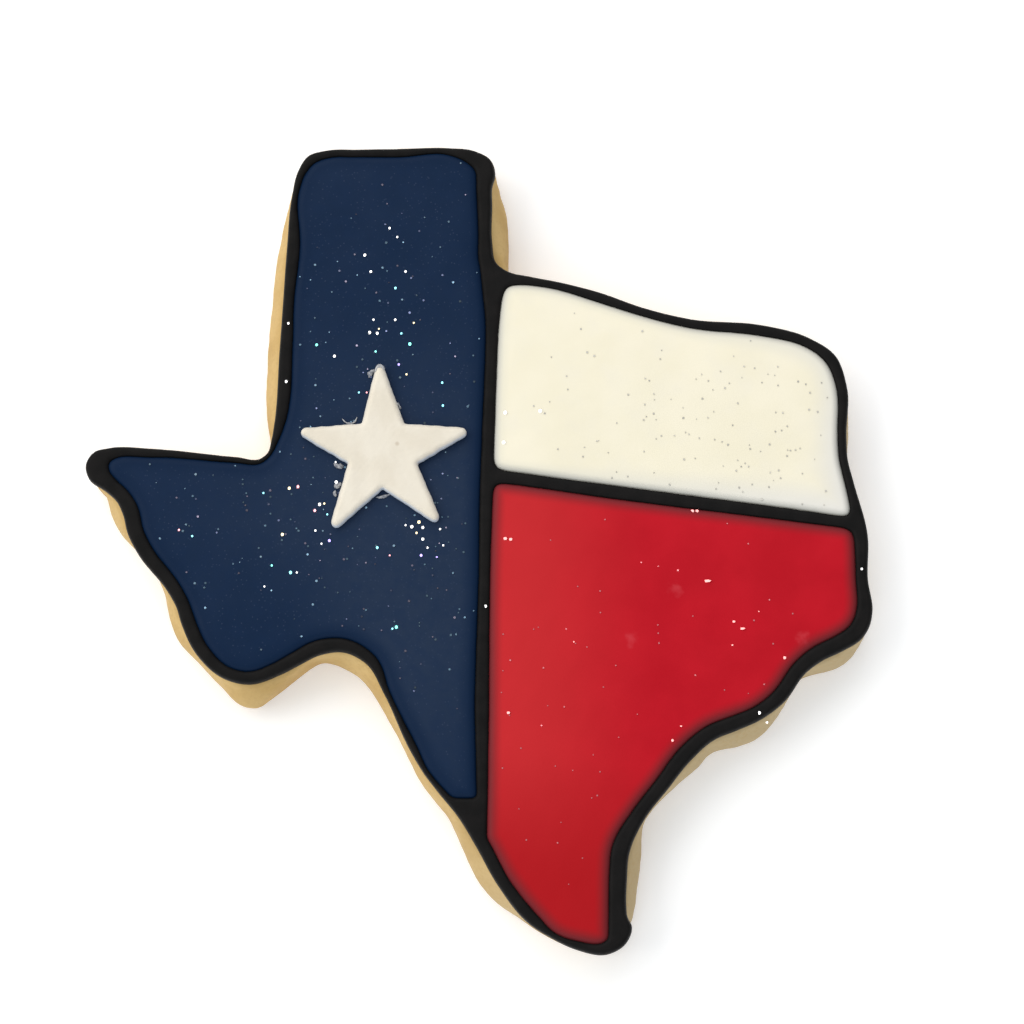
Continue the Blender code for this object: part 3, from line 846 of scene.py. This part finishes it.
# The flakes that flash on the blue: x and y in millimetres, and the tint.
FLASHES = (
    (-11.6, 41.2, SILVER), (-10.6, 40.0, SILVER), (-14.8, 37.6, SILVER), (-14.0, 35.4, SILVER),
    (-9.5, 35.4, SILVER), (-10.8, 33.2, SKY), (-10.8, 29.0, SILVER), (-8.4, 28.6, GOLD),
    (-13.6, 29.0, SILVER), (-12.9, 27.8, GOLD),
    (-14.1, 27.3, SILVER), (-13.1, 27.2, SILVER), (-10.0, 27.2, SKY), (-8.9, 25.8, MINT), (-13.3, 24.8, MINT),
    (-20.9, 25.7, MINT), (-18.6, 24.2, SILVER), (-9.3, 21.8, GOLD), (-10.3, 23.1, VIOLET), (-15.4, 19.4, SKY),
    (-4.7, 20.7, SKY), (-4.6, 17.7, SKY), (-27.5, 6.3, SKY), (-24.2, 6.9, GOLD), (-23.1, 7.1, ROSE),
    (-18.3, 10.3, SILVER), (-18.2, 7.7, SILVER), (-14.4, 19.4, ROSE), (-20.3, 4.8, SILVER),
    (-19.7, 4.9, GOLD), (-20.9, 4.0, ROSE), (-19.3, 3.5, SKY),
    (-25.0, 0.9, GOLD), (-38.2, 1.5, ROSE), (-36.5, 0.7, SKY), (-26.3, -3.1, MINT), (-23.9, -4.0, SKY),
    (-23.1, -4.0, SILVER), (-27.2, -5.8, SILVER), (-20.8, 1.4, SILVER), (-20.0, -0.3, SILVER),
    (-19.0, 0.1, VIOLET),
    (-7.6, 2.5, GOLD), (-7.1, 1.8, SILVER), (-8.5, 1.9, SILVER), (-9.3, 2.1, SILVER), (-7.9, 1.1, GOLD),
    (-4.9, 1.6, SILVER), (-7.1, 0.3, SILVER), (-6.5, -0.8, SILVER), (-4.5, -0.5, SILVER), (-11.3, -1.8, ROSE),
    (-5.3, -2.0, VIOLET), (-7.3, -1.8, VIOLET), (-12.9, -0.8, SKY), (-10.9, -11.2, SKY), (-10.4, -11.0, MINT),
)
# The dust: x and y of the middle of each cluster, how far it spreads, and how many flakes.
BLUE_DUST = (
    (-12, 20, 13, 150), (-22, 2, 10, 90), (-8, 0, 8, 70), (-34, 2, 8, 26), (-8, -16, 6, 20), (-8, 38, 8, 34),
)
WHITE_DUST = ((36, 14, 9, 110), (18, 21, 12, 50), (30, 7, 11, 50))
RED_DUST = ((24, -6, 14, 40), (8, -18, 8, 22), (14, -36, 6, 12))
# The flakes that flash on the white: x and y.
WHITE_FLASHES = ((3.4, 16.8), (3.2, 12.9), (7.9, 17.0))
# The flakes that flash on the red: x and y, how wide, and how many times as long.
RED_FLASHES = (
    (3.4, 0.4, 0.4, 1.4), (4.1, 0.3, 0.4, 1.2), (3.8, -21.9, 0.35, 1.5), (12.1, -12.9, 0.2, 1.0),
    (29.0, -5.1, 0.36, 3.6), (33.4, -11.2, 0.3, 3.4), (32.4, -10.3, 0.3, 1.6), (38.8, -14.9, 0.42, 1.0),
    (35.6, -9.0, 0.16, 1.0), (32.2, -13.3, 0.2, 1.4), (25.6, -23.6, 0.2, 1.5), (24.5, -25.4, 0.36, 1.0),
    (27.3, 4.0, 0.4, 1.3), (27.9, 4.0, 0.4, 1.2),
)
# The flakes that flash on the black line and, the last, on the cookie's side: x, y and height.
LINE_FLASHES = (
    (-24.6, 28.6, 8.8), (-24.8, 20.9, 8.8), (48.8, -3.5, 8.8), (0.9, -8.3, 8.8), (35.5, -21.9, 8.8),
    (36.65, -22.85, 6.45),
)


def scatter(clusters, seed, edge, margin):
    """Places for flakes: a normal spread about each cluster, kept inside the pool's edge by a margin."""
    draw = np.random.default_rng(seed)
    places = np.vstack([draw.normal((x, y), spread, (many, 2)) for x, y, spread, many in clusters])
    held = inside(places, edge) & (clearance(places, bare(edge)) > margin)
    return places[held]


def ground_under(places, rings):
    """The height of a pool under each place: that of the nearest point of its top."""
    top = rings[2:].reshape(-1, 3)
    return np.array([top[np.argmin(((top[:, :2] - place) ** 2).sum(axis=1)), 2] for place in places])


def flakes(places, sizes, facing, tints, seed, longer=1.0):
    """Thin six-sided plates, each with its face turned along its own facing and its tint at each point."""
    draw = np.random.default_rng(seed)
    angle = draw.uniform(-0.3, 0.3, len(places))[:, None] + np.arange(6) * np.pi / 3
    side = np.cross(facing, (0.0, 1.0, 0.0))
    side /= np.linalg.norm(side, axis=1, keepdims=True)
    other = np.cross(facing, side)
    reach = np.broadcast_to(longer, len(places))[:, None] * np.cos(angle)
    plate = reach[:, :, None] * side[:, None] + np.sin(angle)[:, :, None] * other[:, None]
    plate = plate * sizes[:, None, None] / 2
    lift = facing[:, None] * FLAKE_THICKNESS / 2
    both = np.concatenate([plate - lift, plate + lift], axis=1) + places[:, None]
    k = np.arange(6)
    sides = np.stack([k, (k + 1) % 6, (k + 1) % 6 + 6, k + 6], axis=1).tolist()
    one = [[5, 4, 3, 2, 1, 0], [6, 7, 8, 9, 10, 11], *sides]
    faces = [[v + 12 * n for v in face] for n in range(len(places)) for face in one]
    return both.reshape(-1, 3), faces, np.repeat(tints, 12, axis=0)


def tilted(count, draw, lean):
    """Unit vectors that point up, leaning by about this many radians in any direction."""
    facing = np.column_stack([draw.normal(0, lean, (count, 2)), np.ones(count)])
    return facing / np.linalg.norm(facing, axis=1, keepdims=True)


def put_flakes(name, places, heights, sizes, facing, tints, seed, finish, longer=1.0):
    """One finished set of flakes, which lie a hair above the given heights."""
    centres = np.column_stack([places, heights + FLAKE_LIFT])
    points, faces, colours = flakes(centres, sizes, facing, tints, seed, longer)
    made = put_mesh(name, points, faces, finish.material)
    made.data.set_sharp_from_angle(angle=math.radians(30))
    tint = made.data.color_attributes.new("tint", "FLOAT_COLOR", "POINT")
    solid = np.column_stack([colours, np.ones(len(colours))])
    tint.data.foreach_set("color", solid.astype(np.float32).ravel())


WINDOW_PLACE = (-0.86, 0.1, 0.8)
CAMERA_SIDE = (0.0, -0.174, 0.985)

foil = Finish("glitter_foil", Metallic=1.0, Roughness=0.25)
foil.give("Base Color", foil.mark("tint", "Color"))
pale_foil = Finish("glitter_on_pale", Metallic=0.3, Roughness=0.4, Base_Color=(0.52, 0.50, 0.45, 1))
draw = np.random.default_rng(81)

flash_way = np.array(WINDOW_PLACE) / np.linalg.norm(WINDOW_PLACE) + CAMERA_SIDE
flash_way /= np.linalg.norm(flash_way)


def flashing(count):
    """Facings near the one that mirrors the window light to someone looking down at the cookie."""
    facing = flash_way + draw.normal(0, 0.06, (count, 3))
    return facing / np.linalg.norm(facing, axis=1, keepdims=True)


def clear_of_star(places):
    """The places that the star doesn't cover."""
    return places[~inside(places, star_edge()) | (clearance(places, bare(star_edge())) < 0)]


flash = np.array(FLASHES)[:, :2]
shades = [tint for _, _, tint in FLASHES]
put_flakes("glitter_flashing", flash, ground_under(flash, blue_rings), draw.uniform(0.24, 0.46, len(flash)),
           flashing(len(flash)), FLAKE_TINTS[shades], seed=83, finish=foil)
dust = clear_of_star(scatter(BLUE_DUST, seed=84, edge=blue_edge, margin=0.4))
shades = draw.choice([SKY, SKY, SKY, VIOLET, ROSE], len(dust))
faint = 0.05 + draw.uniform(0.12, 0.55, (len(dust), 1)) * (0.3 * FLAKE_TINTS[shades] + (0.22, 0.32, 0.50))
put_flakes("glitter_on_blue", dust, ground_under(dust, blue_rings), draw.uniform(0.15, 0.34, len(dust)),
           tilted(len(dust), draw, 0.08), faint, seed=85, finish=foil)
dust = scatter(WHITE_DUST, seed=86, edge=white_edge, margin=0.5)
put_flakes("glitter_on_white", dust, ground_under(dust, white_rings), draw.uniform(0.15, 0.3, len(dust)),
           tilted(len(dust), draw, 0.1), FLAKE_TINTS[[SILVER] * len(dust)], seed=87, finish=pale_foil)
flash = np.array(WHITE_FLASHES)
put_flakes("glitter_flashing_on_white", flash, ground_under(flash, white_rings), np.full(len(flash), 0.5),
           flashing(len(flash)), FLAKE_TINTS[[SILVER] * len(flash)], seed=92, finish=foil)
dust = scatter(RED_DUST, seed=88, edge=red_edge, margin=0.5)
put_flakes("glitter_on_red", dust, ground_under(dust, red_rings), draw.uniform(0.15, 0.26, len(dust)),
           tilted(len(dust), draw, 0.08), np.full((len(dust), 3), (1.0, 0.3, 0.33)), seed=89, finish=foil)
flash, wide, longer = np.split(np.array(RED_FLASHES), (2, 3), axis=1)
put_flakes("glitter_flashing_on_red", flash, ground_under(flash, red_rings), wide[:, 0], flashing(len(flash)),
           np.full((len(flash), 3), (0.8, 0.33, 0.33)), seed=90, finish=foil, longer=longer[:, 0])
flash, height = np.split(np.array(LINE_FLASHES), (2,), axis=1)
put_flakes("glitter_flashing_on_black", flash, height[:, 0], draw.uniform(0.3, 0.45, len(flash)),
           flashing(len(flash)), FLAKE_TINTS[[SILVER] * len(flash)], seed=91, finish=foil)

# The table, the light and the camera.
# A plain pale table under a bright room, with a warm window at the west, a wide one at the north and a
# cool wall at the south, seen from steeply above as one photographs a cookie.

CAMERA_AIM = (4.366, 3.684, 8.5)
CAMERA_ELEVATION = math.radians(80)
CAMERA_DISTANCE = 400.0

paper = Finish("pale_table", Base_Color=(0.95, 0.95, 0.95, 1), Roughness=0.9, Specular_IOR_Level=0.1,
               Emission_Color=(1, 1, 1, 1), Emission_Strength=0.2)
table_mesh = bpy.data.meshes.new("table")
table_mesh.from_pydata([(-2, -2, 0), (2, -2, 0), (2, 2, 0), (-2, 2, 0)], [], [(0, 1, 2, 3)])
table_mesh.materials.append(paper.material)
table = bpy.data.objects.new("table", table_mesh)
bpy.context.scene.collection.objects.link(table)


def soft_light(name, place, size, watts, colour):
    """A square light at a place, in metres, that faces the cookie."""
    lamp = bpy.data.lights.new(name, "AREA")
    lamp.size, lamp.energy, lamp.color = size, watts, colour
    made = bpy.data.objects.new(name, lamp)
    bpy.context.scene.collection.objects.link(made)
    made.location = place
    made.rotation_euler = Vector(place).to_track_quat("Z", "Y").to_euler()


soft_light("window", WINDOW_PLACE, 0.9, 5.6, (1.0, 0.965, 0.895))
soft_light("north_window", (-0.25, 0.9, 0.85), 1.3, 8.4, (0.99, 0.985, 0.99))
soft_light("south_wall", (-0.05, -1.0, 0.55), 1.3, 4.8, (0.82, 0.92, 1.0))
world = bpy.data.worlds.new("room")
world.use_nodes = True
sky = world.node_tree.nodes["Background"]
sky.inputs["Color"].default_value = (0.95, 0.97, 1.0, 1)
sky.inputs["Strength"].default_value = 0.52
bpy.context.scene.world = world

back = Vector((0, -math.cos(CAMERA_ELEVATION), math.sin(CAMERA_ELEVATION)))
up = Vector((0, math.sin(CAMERA_ELEVATION), math.cos(CAMERA_ELEVATION)))
lens = bpy.data.cameras.new("camera")
lens.lens, lens.sensor_width, lens.clip_start = 110.0, 36.0, 0.01
camera = bpy.data.objects.new("camera", lens)
bpy.context.scene.collection.objects.link(camera)
turned = Matrix((Vector((1, 0, 0)), up, back)).transposed().to_4x4()
camera.matrix_world = Matrix.Translation((Vector(CAMERA_AIM) + back * CAMERA_DISTANCE) * MM) @ turned
bpy.context.scene.camera = camera
bpy.context.scene.view_settings.view_transform = "Standard"
